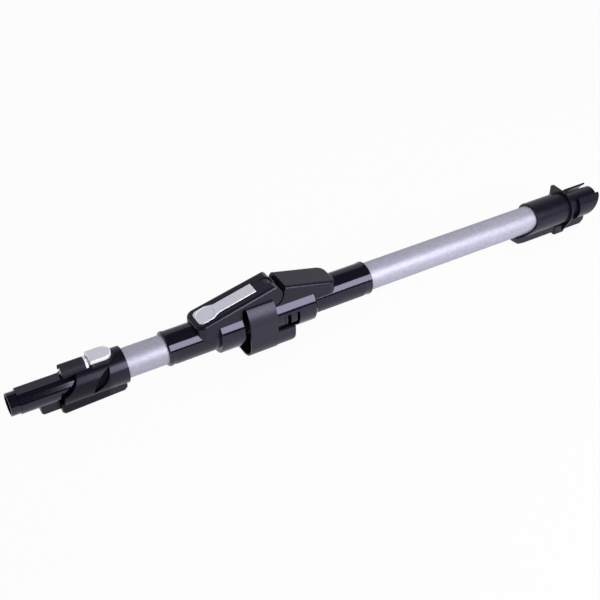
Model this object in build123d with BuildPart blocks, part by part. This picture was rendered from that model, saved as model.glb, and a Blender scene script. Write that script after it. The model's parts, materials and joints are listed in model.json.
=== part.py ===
from build123d import *
import math
import os

os.makedirs("parts", exist_ok=True)

# Driving dimensions, in millimetres.
# X runs along the wand from the tip of the hand end, Z points to the button side.

# Fits and clearances
tube_fit = 0.06
seat_gap = 0.08
pin_fit = 0.04
run_gap = 0.4
spare = 1.0

# Air tubes
tube_od = 34.0
tube_wall = 1.2
upper_bare_len = 48.0
lower_bare_len = 222.0

# Hand spigot and its contact block
spigot_len = 84.0
spigot_bore_r = 11.4
spigot_tip_r = 12.7
spigot_body_r = 13.9
spigot_ring_len = 10.0
spigot_plug_len = 26.0
rail_w = 11.0
rail_h = 0.9
rail_len = 48.0
rib_w = 3.0
rib_angle = 14.0
contact_block_w = 12.0
contact_block_x = 31.0
contact_block_drop = 24.6
contact_block_ramp = 2.5
contact_slot_w = 2.6
contact_slot_h = 5.0
contact_slot_depth = 9.0
contact_pitch = 5.0
contact_setback = 1.0

# Hand collar and its release lever
collar_r = 21.0
collar_overhang = 32.0
collar_grip = 43.5
collar_wall = 2.4
collar_web = 6.0
scallop_run = 20.0
scallop_lead = 2.5
scallop_low_z = -1.0
scallop_top_z = 16.0
scallop_sag = 2.0
keel_w = 24.0
keel_drop = 30.5
keel_rise = 2.4
keel_ramp = 2.5
keel_setback = 2.0
keel_edge_r = 4.0
tunnel_r = 9.6
tunnel_z = 17.0
tunnel_wall = 1.4
tunnel_skirt = 2.6
tunnel_inset = 7.0
tunnel_len = 26.0
bay_w = 22.8
bay_inset = 5.5
bay_len = 33.5
bay_top_z = 22.0
pad_w = 20.0
pad_len = 25.5
pad_top_z = 26.4
pad_thick = 4.2
pad_edge_r = 0.9
pad_inset = 5.2
plate_len = 2.5
plate_z = 19.2
lever_pin_r = 1.25
lever_pin_run = 8.2
lever_pin_z = 20.6
lever_boss_r = 2.9
bay_floor_z = 18.2
lever_spring_x = 18.5
bar_thick = 2.2
bar_w = 11.2
hook_w = 12.6
hook_drop = 2.0
hook_toe = 0.8
hook_len = 20.0
hook_ramp = 3.0
bar_lift = 0.6
recess_depth = 2.6
recess_inset = 2.0
recess_len = 22.0
recess_top_z = 15.6
recess_low_z = -9.0
recess_bow = 4.5

# Hinge sleeves and barrels
sleeve_r = 19.7
bead_r = 20.3
bead_len = 4.6
bead_edge = 1.0
upper_sleeve_len = 60.0
lower_sleeve_len = 79.0
tube_socket_len = 63.0
stop_ring_len = 4.0
stop_ring_r = 14.6
barrel_r = 25.6
barrel_wall = 2.8
upper_barrel_len = 29.5
lower_barrel_run = 1.0
lower_barrel_len = 54.0
lower_tube_step = 2.0
barrel_edge_r = 2.0

# Fold pivot and knuckle
pivot_run = 38.0
pivot_z = 33.0
knuckle_r = 13.0
knuckle_gap = 1.9
slot_low_angle = -95.0
slot_top_angle = 117.0
arm_low_angle = -38.0
arm_top_angle = -10.0
face_low_angle = -78.0
face_top_angle = 9.0
hinge_pin_r = 3.0
bush_wall = 1.5
eye_r = 11.2
eye_w = 12.0
cheek_pin_depth = 7.0
pin_cap_r = 4.4
pin_cap_len = 1.6

# Hinge covers
cover_w = 36.4
cover_nose_w = 39.0
cover_slope = 13.1
cover_rise = 11.8
cover_wall = 2.3
cover_edge_r = 4.0
upper_nose_run = 92.5
upper_nose_r = 10.0
upper_skirt_z = 4.0
lower_nose_run = 85.0
lower_nose_r = 10.0
lower_face_run = 18.0
lower_cover_slope = 14.2
lower_cover_rise = 12.3

# Fold button and latch bar
button_len = 74.0
button_tail_run = 12.5
button_pad_w = 25.0
button_pad_len = 17.0
button_corner_r = 6.0
button_taper_len = 9.0
button_strip_w = 16.6
button_thick = 2.2
button_proud = 0.4
button_dish = 0.5
button_pin_r = 1.25
button_pin_drop = 4.4
button_pin_inset = 4.5
button_rim = 1.4
button_edge = 0.6
ear_len = 6.0
ear_under = 1.2
guide_wall = 2.2
guide_floor = 1.6
latch_edge = 0.8
latch_w = 7.0
latch_h = 4.4
latch_len = 15.0
latch_spring_len = 8.0
spring_wire = 0.6
spring_r = 1.7
latch_clear = 0.6
button_well = 3.4
notch_depth = 2.0

# Hinge shroud
shroud_len = 34.5
shroud_bulge = 9.4
shroud_top_z = 30.0
shroud_side_z = 8.0
shroud_lean = 2.2
shroud_drop = 38.6
shroud_corner_r = 22.0
shroud_wall = 2.0
tail_len = 24.0
tail_step = 2.8
tail_top_z = -10.5
tail_end_r = 14.0

# Snap windows in the floor-side barrel
window_run = 14.0
window_len = 16.0
window_h = 20.0
window_z = -3.5
finger_inset = 4.5
finger_len = 8.0
finger_h = 12.0
panel_run = 2.0
panel_len = 9.0
panel_depth = 0.7

# Bellows hose
hose_r = 16.2
hose_root_r = 14.2
hose_wall = 0.9
hose_pitch = 7.0
hose_cuff_len = 9.0
cuff_wall = 1.2

# Floor connector
floor_collar_r = 20.6
floor_collar_len = 80.8
floor_scallop = 28.0
floor_scallop_z = 6.0
floor_mouth_z = -13.3
floor_mouth_lead = 4.0
floor_mouth_sag = 5.5
tongue_ramp = 9.0
tongue_rise = 1.5
tongue_lip = 5.0
floor_socket_len = 60.0
flange_r = 24.0
flange_thick = 2.4
ear_y = 21.5
ear_z = 24.5
ear_r = 4.0
end_spigot_r = 15.0
end_spigot_len = 49.0
end_bore_r = 12.4
end_slant = 17.0
end_slant_z = 13.0
cradle_angle = 41.0
cradle_r = 20.4
cradle_wall = 2.4
cradle_start = 15.5
floor_keel_w = 18.0
floor_keel_drop = 30.0
foot_w = 22.0
foot_drop = 33.5
foot_len = 16.0
foot_edge_r = 3.0
foot_corner_r = 5.0
plug_block_w = 16.0
plug_block_drop = 30.8
plug_block_len = 36.0
plug_ramp = 5.0

# Stations along the wand, worked out from the lengths above
tube_r = tube_od / 2
tube_bore_r = tube_r - tube_wall
socket_r = tube_r + tube_fit
upper_tube_x = spigot_len
collar_x0 = upper_tube_x - collar_overhang
collar_x1 = upper_tube_x + collar_grip
upper_sleeve_x = collar_x1 + upper_bare_len
upper_barrel_x = upper_sleeve_x + upper_sleeve_len
upper_barrel_end = upper_barrel_x + upper_barrel_len
pivot_x = upper_barrel_end + pivot_run
lower_barrel_x = pivot_x + lower_barrel_run
lower_barrel_end = lower_barrel_x + lower_barrel_len
lower_sleeve_end = lower_barrel_end + lower_sleeve_len
floor_collar_x = lower_sleeve_end + lower_bare_len
flange_x = floor_collar_x + floor_collar_len
end_spigot_x = flange_x + flange_thick
wand_end_x = end_spigot_x + end_spigot_len
upper_tube_end = upper_sleeve_x + tube_socket_len
lower_tube_x = lower_barrel_end + lower_tube_step
lower_tube_end = floor_collar_x + floor_socket_len
barrel_bore_r = barrel_r - barrel_wall
cover_half_w = cover_w / 2
shroud_top_half_w = cover_half_w + run_gap + shroud_wall
shroud_half_w = shroud_top_half_w + shroud_bulge
lip_half_w = shroud_top_half_w - shroud_wall

# Planes of the two sloping cover tops, each with its origin at the foot of the line from the pivot
slope = math.radians(cover_slope)
lower_slope = math.radians(lower_cover_slope)
upper_top = Plane(
    origin=(pivot_x - cover_rise * math.sin(slope), 0, pivot_z + cover_rise * math.cos(slope)),
    x_dir=(math.cos(slope), 0, math.sin(slope)),
    z_dir=(-math.sin(slope), 0, math.cos(slope)),
)
lower_top = Plane(
    origin=(
        pivot_x + lower_cover_rise * math.sin(lower_slope),
        0,
        pivot_z + lower_cover_rise * math.cos(lower_slope),
    ),
    x_dir=(math.cos(lower_slope), 0, -math.sin(lower_slope)),
    z_dir=(math.sin(lower_slope), 0, math.cos(lower_slope)),
)


def upper_top_z(x):
    """Height of the hand-side cover's top plane at a station."""
    return upper_top.origin.Z + (x - upper_top.origin.X) * math.tan(slope)


def lower_top_z(x):
    """Height of the floor-side cover's top plane at a station."""
    return lower_top.origin.Z - (x - lower_top.origin.X) * math.tan(lower_slope)


def on_pivot(radius, angle):
    """A point of the side view on a circle round the fold pivot."""
    turn = math.radians(angle)
    return (pivot_x + radius * math.cos(turn), pivot_z + radius * math.sin(turn))


def coil(seat, length, radius, wire, turns):
    """A small compression spring standing on a seat plane."""
    with BuildPart() as spring:
        with BuildLine(Plane.XY.offset(wire / 2)):
            path = Helix(pitch=(length - wire) / turns, height=length - wire, radius=radius)
        with BuildSketch(Plane(origin=path @ 0, z_dir=path % 0)):
            Circle(wire / 2)
        sweep(path=path, is_frenet=True)
    return spring.part.moved(seat.location)


# Hand spigot: the air nozzle that the vacuum's body pushes onto
plug_r = tube_bore_r - tube_fit
plug_end = spigot_len + spigot_plug_len
with BuildPart() as hand_spigot:
    with BuildSketch(Plane.XZ):
        with BuildLine():
            Polyline(
                (0, spigot_bore_r),
                (0, spigot_tip_r),
                (spigot_ring_len, spigot_tip_r),
                (spigot_ring_len, spigot_body_r),
                (spigot_len, spigot_body_r),
                (spigot_len, plug_r),
                (plug_end, plug_r),
                (plug_end, spigot_bore_r),
                close=True,
            )
        make_face()
    revolve(axis=Axis.X)
    with BuildSketch(Plane.YZ.offset(spigot_ring_len)):
        with Locations((0, spigot_body_r)):
            Rectangle(rail_w, 2 * rail_h)
    extrude(amount=rail_len)
    rib_span = 180 - 2 * rib_angle
    with BuildSketch(Plane.YZ.offset(spigot_ring_len)):
        with PolarLocations(spigot_body_r, 2, start_angle=rib_angle, angular_range=rib_span, endpoint=True):
            Rectangle(2 * rail_h, rib_w)
    extrude(amount=spigot_len - spigot_ring_len - collar_web - seat_gap)
hand_spigot.part.label = "hand_spigot"
export_step(hand_spigot.part, "parts/hand_spigot.step")

# Hand contact block: carries the two contacts that feed power down the wand
block_end = collar_x0 - seat_gap
with BuildPart() as hand_contact_block:
    with BuildSketch(Plane.XZ):
        with BuildLine():
            Polyline(
                (contact_block_x, -spigot_body_r / 2),
                (contact_block_x, -contact_block_drop + contact_block_ramp),
                (contact_block_x + contact_block_ramp, -contact_block_drop),
                (block_end, -contact_block_drop),
                (block_end, -spigot_body_r / 2),
                close=True,
            )
        make_face()
    extrude(amount=contact_block_w / 2, both=True)
    with BuildSketch(Plane.YZ.offset(contact_block_x)):
        Circle(spigot_body_r + seat_gap)
    extrude(amount=block_end - contact_block_x, mode=Mode.SUBTRACT)
    slot_z = -(spigot_body_r + contact_block_drop) / 2
    with BuildSketch(Plane.YZ.offset(contact_block_x)):
        with Locations((0, slot_z)):
            with GridLocations(contact_pitch, 1, 2, 1):
                Rectangle(contact_slot_w, contact_slot_h)
    extrude(amount=contact_slot_depth, mode=Mode.SUBTRACT)
hand_contact_block.part.label = "hand_contact_block"
export_step(hand_contact_block.part, "parts/hand_contact_block.step")

# Hand contacts: a pair of blades standing in the block's slots
contact_t = contact_slot_w - 2 * run_gap
with BuildPart() as hand_contacts:
    with BuildSketch(Plane.YZ.offset(contact_block_x + contact_slot_depth)):
        with Locations((0, slot_z)):
            with GridLocations(contact_pitch, 1, 2, 1):
                Rectangle(contact_t, contact_slot_h - 2 * run_gap)
    extrude(amount=contact_setback - contact_slot_depth)
hand_contacts.part.label = "hand_contacts"
export_step(hand_contacts.part, "parts/hand_contacts.step")

# Lens-shaped finger recess cut into both sides of the hand collar
recess_top = (upper_tube_x + recess_inset + recess_len, recess_top_z)
recess_low = (upper_tube_x + recess_inset, recess_low_z)
recess_mid = (
    (recess_top[0] + recess_low[0]) / 2,
    (recess_top[1] + recess_low[1]) / 2,
)
recess_front = (recess_mid[0] - recess_bow, recess_mid[1] + recess_bow / 2)
recess_back = (recess_mid[0] + recess_bow, recess_mid[1] - recess_bow / 2)
with BuildPart() as collar_recess:
    with BuildSketch(Plane.XZ):
        with BuildLine():
            ThreePointArc(recess_top, recess_front, recess_low)
            ThreePointArc(recess_low, recess_back, recess_top)
        make_face()
    extrude(amount=collar_r + recess_depth, both=True)
    with BuildSketch(Plane.YZ):
        Circle(collar_r - recess_depth)
    extrude(amount=collar_x1, mode=Mode.SUBTRACT)

# Hand collar: grips the tube and the spigot, with the latch tunnel and lever bay on top
mouth_r = collar_r - collar_wall
mouth_low = (collar_x0 + scallop_lead, scallop_low_z)
mouth_top = (collar_x0 + scallop_run, scallop_top_z)
mouth_mid = (
    (mouth_low[0] + mouth_top[0]) / 2 + scallop_sag,
    (mouth_low[1] + mouth_top[1]) / 2 - scallop_sag,
)
tunnel_x0 = collar_x0 + tunnel_inset
tunnel_x1 = tunnel_x0 + tunnel_len
bay_x0 = tunnel_x1 + bay_inset
bay_x1 = tunnel_x1 + bay_len
web_x0 = upper_tube_x - collar_web
lever_x = tunnel_x1 + pad_inset
lever_pin = (tunnel_x1 + lever_pin_run, lever_pin_z)
with BuildPart() as hand_collar:
    with BuildSketch(Plane.YZ.offset(collar_x0)):
        Circle(collar_r)
    extrude(amount=collar_x1 - collar_x0)
    with BuildSketch(Plane.XZ):
        with BuildLine():
            Polyline(
                mouth_low,
                (collar_x0, -2 * collar_r),
                (collar_x0 - spare, -2 * collar_r),
                (collar_x0 - spare, 2 * collar_r),
                (mouth_top[0], 2 * collar_r),
                mouth_top,
            )
            ThreePointArc(mouth_top, mouth_mid, mouth_low)
        make_face()
    extrude(amount=collar_r + spare, both=True, mode=Mode.SUBTRACT)
    add(collar_recess.part, mode=Mode.SUBTRACT)
    with BuildSketch(Plane.XZ):
        with BuildLine():
            Polyline(
                (collar_x0, -collar_r / 2),
                (collar_x0, -keel_drop + keel_ramp),
                (collar_x0 + keel_ramp, -keel_drop),
                (collar_x1 - keel_setback - keel_ramp, -keel_drop + keel_rise),
                (collar_x1 - keel_setback, -keel_drop + keel_rise + keel_ramp),
                (collar_x1 - keel_setback, -collar_r / 2),
                close=True,
            )
        make_face()
    extrude(amount=keel_w / 2, both=True)
    keel_sides = edges().filter_by(lambda e: abs(e.center().Y) > keel_w / 2 - run_gap)
    fillet(keel_sides.filter_by(lambda e: e.center().Z < -collar_r - keel_edge_r), keel_edge_r)
    with BuildSketch(Plane.YZ.offset(tunnel_x0)):
        with Locations((0, tunnel_z)):
            Circle(tunnel_r)
        with Locations((0, tunnel_z - tunnel_skirt / 2)):
            Rectangle(2 * tunnel_r, tunnel_skirt)
    extrude(amount=tunnel_len)
    with BuildSketch(Plane.XY.offset(collar_r / 2)):
        with Locations((bay_x0, 0)):
            Rectangle(bay_x1 - bay_x0 - bay_w / 2, bay_w, align=(Align.MIN, Align.CENTER))
        with Locations((bay_x1 - bay_w / 2, 0)):
            Circle(bay_w / 2)
    extrude(amount=bay_top_z - collar_r / 2)
    with BuildSketch(Plane.YZ.offset(tunnel_x0)):
        with Locations((0, tunnel_z)):
            Circle(tunnel_r - tunnel_wall)
        with Locations((0, tunnel_z - tunnel_skirt)):
            Rectangle(2 * (tunnel_r - tunnel_wall), 2 * tunnel_skirt)
    extrude(amount=tunnel_len, mode=Mode.SUBTRACT)
    pocket_w = pad_w + 2 * run_gap
    with BuildSketch(Plane.XY.offset(bay_floor_z)):
        with Locations((tunnel_x1, 0)):
            Rectangle(lever_x + pad_len - pad_w / 2 - tunnel_x1, pocket_w, align=(Align.MIN, Align.CENTER))
        with Locations((lever_x + pad_len - pad_w / 2, 0)):
            Circle(pocket_w / 2)
    extrude(amount=bay_top_z, mode=Mode.SUBTRACT)
    boss_x1 = lever_pin[0] + 2 * lever_boss_r
    with BuildSketch(Plane.XY.offset(tube_r - spare)):
        with Locations((tunnel_x0, 0)):
            Rectangle(boss_x1 - tunnel_x0, bar_w + 2 * run_gap, align=(Align.MIN, Align.CENTER))
    extrude(amount=bay_floor_z + 2 * spare - tube_r, mode=Mode.SUBTRACT)
    with BuildSketch(Plane.XZ):
        with BuildLine():
            Polyline(
                (collar_x0 - spare, 0),
                (collar_x0 - spare, mouth_r),
                (web_x0, mouth_r),
                (web_x0, spigot_body_r + seat_gap),
                (upper_tube_x - seat_gap, spigot_body_r + seat_gap),
                (upper_tube_x - seat_gap, socket_r),
                (collar_x1 + spare, socket_r),
                (collar_x1 + spare, 0),
                close=True,
            )
        make_face()
    revolve(axis=Axis.X, mode=Mode.SUBTRACT)
    with BuildSketch(Plane.XZ):
        with Locations(lever_pin):
            Circle(lever_pin_r + seat_gap / 2)
    extrude(amount=bay_w / 2 + spare, both=True, mode=Mode.SUBTRACT)
hand_collar.part.label = "hand_collar"
export_step(hand_collar.part, "parts/hand_collar.step")

# Release lever: silver pad, pivot boss and the latch bar that runs under the tunnel
pad_x1 = lever_x + pad_len
bar_z = tube_r + bar_lift
bar_top_z = bar_z + bar_thick
pad_floor_z = pad_top_z - pad_thick
hook_x = tunnel_x0 + spare
hook_x1 = hook_x + hook_len
with BuildPart() as release_lever:
    with BuildSketch(Plane.XY.offset(pad_floor_z)):
        with Locations((lever_x, 0)):
            Rectangle(pad_len - pad_w / 2, pad_w, align=(Align.MIN, Align.CENTER))
        with Locations((pad_x1 - pad_w / 2, 0)):
            Circle(pad_w / 2)
    extrude(amount=pad_thick)
    fillet(faces().sort_by(Axis.Z)[-1].edges(), pad_edge_r)
    with BuildSketch(Plane.YZ.offset(tunnel_x1 + run_gap)):
        with Locations((0, tunnel_z)):
            Circle(tunnel_r)
        with Locations((0, plate_z)):
            Rectangle(2 * tunnel_r, 2 * tunnel_r, align=(Align.CENTER, Align.MIN), mode=Mode.INTERSECT)
    extrude(amount=plate_len)
    with BuildSketch(Plane.XZ):
        with Locations(lever_pin):
            Circle(lever_boss_r)
    extrude(amount=bar_w / 2, both=True)
    with BuildSketch(Plane.XZ):
        with BuildLine():
            Polyline(
                (hook_x1 - hook_ramp, bar_z),
                (lever_pin[0], bar_z),
                (lever_pin[0], pad_floor_z + run_gap),
                (lever_x, pad_floor_z + run_gap),
                (lever_x, bar_top_z),
                (hook_x1 - hook_ramp, bar_top_z),
                close=True,
            )
        make_face()
    extrude(amount=bar_w / 2, both=True)
    with BuildSketch(Plane.XZ):
        with BuildLine():
            Polyline(
                (hook_x, bar_z - hook_drop - hook_toe),
                (hook_x + hook_ramp, bar_z - hook_drop - hook_toe),
                (hook_x + hook_ramp + hook_toe, bar_z - hook_drop),
                (hook_x1 - hook_ramp, bar_z - hook_drop),
                (hook_x1, bar_top_z),
                (hook_x1 - 2 * hook_ramp, bar_top_z),
                (hook_x, bar_top_z - hook_drop),
                close=True,
            )
        make_face()
    extrude(amount=hook_w / 2, both=True)
    with BuildSketch(Plane.XZ):
        with Locations(lever_pin):
            Circle(lever_pin_r + pin_fit)
    extrude(amount=pad_w, both=True, mode=Mode.SUBTRACT)
release_lever.part.label = "release_lever"
export_step(release_lever.part, "parts/release_lever.step")

# Release pin: the lever's pivot, held in both bay walls
with BuildPart() as release_pin:
    with BuildSketch(Plane.XZ):
        with Locations(lever_pin):
            Circle(lever_pin_r)
    extrude(amount=bay_w / 2 - run_gap, both=True)
release_pin.part.label = "release_pin"
export_step(release_pin.part, "parts/release_pin.step")

# Release spring: lifts the pad again
spring_floor = Plane(origin=(lever_x + lever_spring_x, 0, bay_floor_z + seat_gap))
spring_room = pad_floor_z - bay_floor_z - 2 * seat_gap
release_spring = coil(spring_floor, spring_room, spring_r, spring_wire, 3)
release_spring.label = "release_spring"
export_step(release_spring, "parts/release_spring.step")

# Upper tube
with BuildPart() as upper_tube:
    with BuildSketch(Plane.YZ.offset(upper_tube_x)):
        Circle(tube_r)
        Circle(tube_bore_r, mode=Mode.SUBTRACT)
    extrude(amount=upper_tube_end - upper_tube_x)
upper_tube.part.label = "upper_tube"
export_step(upper_tube.part, "parts/upper_tube.step")

# Outline of the fold button, drawn on the sloping cover top
button_u1 = -button_tail_run
button_u0 = button_u1 - button_len
button_pin_u = button_u1 - button_pin_inset
pin_point = upper_top.from_local_coords((button_pin_u, 0, -button_pin_drop))
button_pin = (pin_point.X, pin_point.Z)


def button_outline(grow):
    """The button's plan: a rounded pad that tapers into a long strip."""
    pad_h = button_pad_w / 2 + grow
    strip_h = button_strip_w / 2 + grow
    left = button_u0 - grow
    right = button_u1 + grow
    taper = button_u0 + button_pad_len
    with BuildSketch() as outline:
        with BuildLine():
            Polyline(
                (left, -pad_h),
                (left, pad_h),
                (taper, pad_h),
                (taper + button_taper_len, strip_h),
                (right, strip_h),
                (right, -strip_h),
                (taper + button_taper_len, -strip_h),
                (taper, -pad_h),
                close=True,
            )
        make_face()
        fillet(vertices().group_by(Axis.X)[0], button_corner_r + grow)
    return outline.sketch


# Hand-side hinge body: sleeve over the tube and the barrel that holds the hose's end
with BuildPart() as upper_hinge_body:
    with BuildSketch(Plane.XZ):
        with BuildLine():
            Polyline(
                (upper_sleeve_x, socket_r),
                (upper_sleeve_x, bead_r - bead_edge),
                (upper_sleeve_x + bead_edge, bead_r),
                (upper_sleeve_x + bead_len - bead_edge, bead_r),
                (upper_sleeve_x + bead_len, sleeve_r),
                (upper_barrel_x, sleeve_r),
                (upper_barrel_x, barrel_r - barrel_edge_r),
                (upper_barrel_x + barrel_edge_r / 2, barrel_r),
                (upper_barrel_end - barrel_edge_r / 2, barrel_r),
                (upper_barrel_end, barrel_r - barrel_edge_r / 2),
                (upper_barrel_end, barrel_bore_r),
                (upper_tube_end + stop_ring_len, barrel_bore_r),
                (upper_tube_end + stop_ring_len, stop_ring_r),
                (upper_tube_end + seat_gap, stop_ring_r),
                (upper_tube_end + seat_gap, socket_r),
                close=True,
            )
        make_face()
    revolve(axis=Axis.X)
upper_hinge_body.part.label = "upper_hinge_body"
export_step(upper_hinge_body.part, "parts/upper_hinge_body.step")

# Hollow under the hand-side cover, kept clear of the solid knuckle
nose_x = pivot_x - upper_nose_run
cavity_x1 = pivot_x - knuckle_r
with BuildPart() as upper_cavity:
    with BuildSketch(Plane.XY):
        with BuildLine():
            Polyline(
                (nose_x + cover_wall, -cover_nose_w / 2 + cover_wall),
                (cavity_x1, -cover_w / 2 + cover_wall),
                (cavity_x1, cover_w / 2 - cover_wall),
                (nose_x + cover_wall, cover_nose_w / 2 - cover_wall),
                close=True,
            )
        make_face()
        fillet(vertices().group_by(Axis.X)[0], upper_nose_r - cover_wall)
    extrude(amount=pivot_z + knuckle_r)
    split(bisect_by=upper_top.offset(-cover_wall), keep=Keep.BOTTOM)

# Hand-side hinge cover: the wedge-shaped housing that carries the button and the knuckle
cover_floor_z = shroud_top_z + run_gap
guide_u = -(eye_r + latch_clear + latch_len + latch_spring_len)
guide_half_w = latch_w / 2 + guide_wall
guide_depth = cover_rise + latch_h / 2
floor_angle = 180 + math.degrees(math.asin((pivot_z - cover_floor_z) / knuckle_r))
top_angle = 90 + cover_slope - math.degrees(math.acos(cover_rise / knuckle_r))
with BuildPart() as upper_hinge_cover:
    with BuildSketch(Plane.XY):
        with BuildLine():
            Polyline(
                (nose_x, -cover_nose_w / 2),
                (pivot_x + knuckle_r, -cover_w / 2),
                (pivot_x + knuckle_r, cover_w / 2),
                (nose_x, cover_nose_w / 2),
                close=True,
            )
        make_face()
        fillet(vertices().group_by(Axis.X)[0], upper_nose_r)
    extrude(amount=pivot_z + knuckle_r)
    with BuildSketch(Plane.XZ):
        with BuildLine():
            Polyline(
                on_pivot(knuckle_r, top_angle),
                (nose_x - spare, upper_top_z(nose_x - spare)),
                (nose_x - spare, upper_skirt_z),
                (upper_barrel_end - run_gap, upper_skirt_z),
                (upper_barrel_end - run_gap, cover_floor_z),
                on_pivot(knuckle_r, floor_angle),
            )
            ThreePointArc(
                on_pivot(knuckle_r, floor_angle),
                on_pivot(knuckle_r, (floor_angle - 360 + top_angle) / 2),
                on_pivot(knuckle_r, top_angle),
            )
        make_face()
    extrude(amount=cover_nose_w, both=True, mode=Mode.INTERSECT)
    top_face = faces().filter_by(lambda f: (f.normal_at() - upper_top.z_dir).length < 0.01)[0]
    round_end = faces().filter_by(GeomType.CYLINDER).sort_by(Axis.X)[-1]
    rims = round_end.edges().filter_by(GeomType.CIRCLE)
    fillet(top_face.edges().sort_by(Axis.X)[:-1] + rims, cover_edge_r)
    add(upper_cavity.part, mode=Mode.SUBTRACT)
    with BuildSketch(upper_top.offset(-guide_depth - guide_floor)):
        with Locations((guide_u - guide_floor, 0)):
            guide_len = guide_floor - guide_u - knuckle_r / 2
            Rectangle(guide_len, 2 * guide_half_w, align=(Align.MIN, Align.CENTER))
    extrude(amount=guide_depth + guide_floor - button_well)
    with BuildSketch(Plane.YZ.offset(nose_x - spare)):
        Circle(sleeve_r + seat_gap)
    extrude(amount=upper_barrel_x - nose_x + spare, mode=Mode.SUBTRACT)
    with BuildSketch(Plane.YZ.offset(upper_barrel_x - seat_gap)):
        Circle(barrel_r + seat_gap)
    extrude(amount=upper_barrel_len + 2 * seat_gap, mode=Mode.SUBTRACT)
    with BuildSketch(upper_top):
        add(button_outline(run_gap))
    extrude(amount=-button_well, mode=Mode.SUBTRACT)
    with BuildSketch(upper_top.offset(-guide_depth - seat_gap)):
        with Locations((guide_u, 0)):
            Rectangle(-guide_u, latch_w + 2 * run_gap, align=(Align.MIN, Align.CENTER))
    extrude(amount=latch_h + 2 * seat_gap, mode=Mode.SUBTRACT)
    with BuildSketch(Plane.XZ):
        with Locations((pivot_x, pivot_z)):
            Circle(eye_r + latch_clear)
        with BuildLine():
            Polyline(
                (pivot_x, pivot_z),
                on_pivot(2 * knuckle_r, slot_low_angle),
                on_pivot(3 * knuckle_r, slot_low_angle / 2),
                on_pivot(3 * knuckle_r, slot_top_angle / 2),
                on_pivot(2 * knuckle_r, slot_top_angle),
                close=True,
            )
        make_face()
    extrude(amount=eye_w / 2 + run_gap, both=True, mode=Mode.SUBTRACT)
    with BuildSketch(Plane.XZ.offset(eye_w / 2 + cheek_pin_depth)):
        with Locations((pivot_x, pivot_z)):
            Circle(hinge_pin_r + seat_gap / 2)
    extrude(amount=-cover_w, mode=Mode.SUBTRACT)
    with BuildSketch(Plane.XZ.offset(-cover_w / 2 + pin_cap_len)):
        with Locations((pivot_x, pivot_z)):
            Circle(pin_cap_r + seat_gap / 2)
    extrude(amount=-pin_cap_len - spare, mode=Mode.SUBTRACT)
    with BuildSketch(Plane.XZ):
        with Locations(button_pin):
            Circle(button_pin_r + seat_gap / 2)
    extrude(amount=guide_half_w + spare, both=True, mode=Mode.SUBTRACT)
upper_hinge_cover.part.label = "upper_hinge_cover"
export_step(upper_hinge_cover.part, "parts/upper_hinge_cover.step")

# Fold button: silver rocker set into the cover's top, with two ears on its pin
with BuildPart() as fold_button:
    with BuildSketch(upper_top.offset(button_proud - button_thick)):
        add(button_outline(0))
    extrude(amount=button_thick)
    top_face = faces().filter_by(lambda f: (f.normal_at() - upper_top.z_dir).length < 0.01)[0]
    chamfer(top_face.edges(), button_edge)
    with BuildSketch(upper_top.offset(button_proud)):
        with Locations((button_u0 + button_pad_w / 2, 0)):
            Circle(button_pad_w / 2 - button_rim)
    extrude(amount=-button_dish, mode=Mode.SUBTRACT)
    ear_w = button_strip_w / 2 - guide_half_w - run_gap
    ear_y_mid = button_strip_w / 2 - ear_w / 2
    ear_drop = button_pin_drop + button_pin_r + ear_under
    with BuildSketch(upper_top.offset(-ear_drop)):
        with Locations((button_pin_u, 0)):
            with GridLocations(ear_len, 2 * ear_y_mid, 1, 2):
                Rectangle(ear_len, ear_w)
    extrude(amount=ear_drop + button_proud - button_thick)
    with BuildSketch(Plane.XZ):
        with Locations(button_pin):
            Circle(button_pin_r + pin_fit)
    extrude(amount=button_pad_w, both=True, mode=Mode.SUBTRACT)
fold_button.part.label = "fold_button"
export_step(fold_button.part, "parts/fold_button.step")

# Fold button pin: lies across the latch guide
with BuildPart() as fold_button_pin:
    with BuildSketch(Plane.XZ):
        with Locations(button_pin):
            Circle(button_pin_r)
    extrude(amount=button_strip_w / 2 - run_gap, both=True)
fold_button_pin.part.label = "fold_button_pin"
export_step(fold_button_pin.part, "parts/fold_button_pin.step")

# Fold latch: sliding bar that drops into the notch of the floor-side eye
latch_nose_u = -(eye_r + latch_clear)
with BuildPart() as fold_latch:
    with BuildSketch(upper_top.offset(-guide_depth)):
        with Locations((latch_nose_u, 0)):
            Rectangle(latch_len, latch_w, align=(Align.MAX, Align.CENTER))
    extrude(amount=latch_h)
    nose_edges = edges().filter_by(Axis.Y).sort_by(Axis.X)[-2:]
    chamfer(nose_edges, latch_edge)
fold_latch.part.label = "fold_latch"
export_step(fold_latch.part, "parts/fold_latch.step")

# Latch spring: pushes the bar towards the eye
spring_seat = Plane(
    origin=upper_top.from_local_coords((guide_u + seat_gap, 0, -cover_rise)),
    z_dir=upper_top.x_dir,
)
latch_spring = coil(spring_seat, latch_spring_len - 2 * seat_gap, spring_r, spring_wire, 4)
latch_spring.label = "latch_spring"
export_step(latch_spring, "parts/latch_spring.step")

# Hinge pin: steel pin held in the cover's two cheeks
pin_near_y = -(eye_w / 2 + cheek_pin_depth - seat_gap)
pin_far_y = cover_w / 2 - pin_cap_len - seat_gap
with BuildPart() as hinge_pin:
    with BuildSketch(Plane.XZ.offset(-pin_near_y)):
        with Locations((pivot_x, pivot_z)):
            Circle(hinge_pin_r)
    extrude(amount=pin_near_y - pin_far_y)
hinge_pin.part.label = "hinge_pin"
export_step(hinge_pin.part, "parts/hinge_pin.step")

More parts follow.
